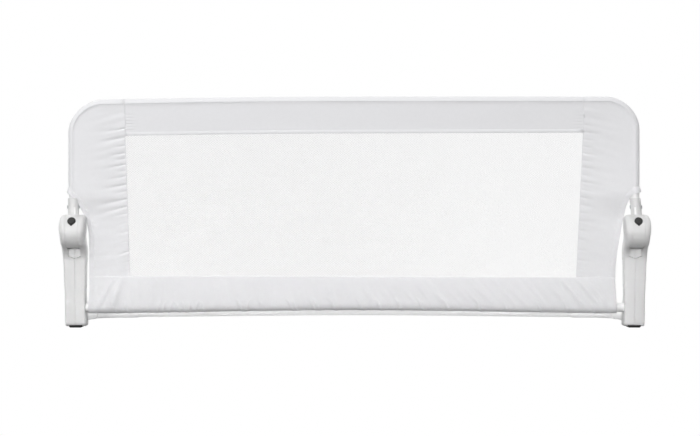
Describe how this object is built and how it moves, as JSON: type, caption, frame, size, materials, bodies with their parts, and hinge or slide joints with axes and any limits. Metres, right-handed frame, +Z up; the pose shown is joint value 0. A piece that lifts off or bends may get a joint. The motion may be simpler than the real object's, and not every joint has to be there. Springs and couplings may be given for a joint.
{
  "type": "folding bed guard rail",
  "caption": "Folding bed guard rail: a cloth sleeve with a mesh window on a tube frame, locking side hinges with push buttons, and a leg frame that lies under the mattress.",
  "frame": {"origin": "middle of the whole guard's footprint, on the surface that its foot pads and rear elbows rest on", "axes": "+X along the rail to the viewer's right, +Y back under the mattress, away from the rail, +Z up"},
  "size_m": [1.02, 0.348, 0.4028],
  "materials": {
    "white_plastic": "moulded white plastic with a fine satin texture",
    "black_plastic": "black moulded button",
    "black_rubber": "black rubber foot",
    "zinc_steel": "zinc plated steel",
    "white_tube": "white powder coat on steel tube",
    "white_cloth": "plain woven polyester, slightly cool white",
    "white_net": "fine white knitted mesh"
  },
  "bodies": {
    "base": {"left_casing_outer_shell": "white_plastic", "left_casing_inner_shell": "white_plastic", "left_foot_pad": "black_rubber", "left_casing_screw_1": "zinc_steel", "left_casing_screw_2": "zinc_steel", "left_casing_screw_3": "zinc_steel", "left_leg_screw": "zinc_steel", "left_lower_tube_screw": "zinc_steel", "left_hinge_pin": "zinc_steel", "left_leg_tube": "white_tube", "left_rear_elbow": "white_plastic", "left_lower_panel": "white_cloth", "right_casing_outer_shell": "white_plastic", "right_casing_inner_shell": "white_plastic", "right_foot_pad": "black_rubber", "right_casing_screw_1": "zinc_steel", "right_casing_screw_2": "zinc_steel", "right_casing_screw_3": "zinc_steel", "right_leg_screw": "zinc_steel", "right_lower_tube_screw": "zinc_steel", "right_hinge_pin": "zinc_steel", "right_leg_tube": "white_tube", "right_rear_elbow": "white_plastic", "right_lower_panel": "white_cloth", "rear_crossbar": "white_tube", "lower_cross_tube": "white_tube", "cover_bottom_band": "white_cloth", "window_lower_net": "white_net"},
    "rail": {"left_hinge_rotor": "white_plastic", "left_tube_rivet": "zinc_steel", "left_button_spring": "zinc_steel", "left_corner_tube": "white_tube", "left_snap_button": "zinc_steel", "left_upper_panel": "white_cloth", "right_hinge_rotor": "white_plastic", "right_tube_rivet": "zinc_steel", "right_button_spring": "zinc_steel", "right_corner_tube": "white_tube", "right_snap_button": "zinc_steel", "right_upper_panel": "white_cloth", "top_tube": "white_tube", "cover_top_band": "white_cloth", "window_upper_net": "white_net"},
    "left_release": {"left_release_button": "black_plastic", "left_lock_pin": "zinc_steel"},
    "right_release": {"right_release_button": "black_plastic", "right_lock_pin": "zinc_steel"}
  },
  "joints": [
    {"name": "fold", "type": "hinge", "parent": "base", "child": "rail", "pos_m": [0, -0.14427, 0.168], "axis": [1, 0, 0], "range_deg": [0, 180]},
    {"name": "left_button_press", "type": "slide", "parent": "rail", "child": "left_release", "axis": [0, 0.788, -0.6157], "range_m": [0, 0.0035], "stiffness_N_per_m": 500, "springref_m": -0.004, "deforming": ["left_button_spring"]},
    {"name": "right_button_press", "type": "slide", "parent": "rail", "child": "right_release", "axis": [0, 0.788, -0.6157], "range_m": [0, 0.0035], "stiffness_N_per_m": 500, "springref_m": -0.004, "deforming": ["right_button_spring"]}
  ]
}
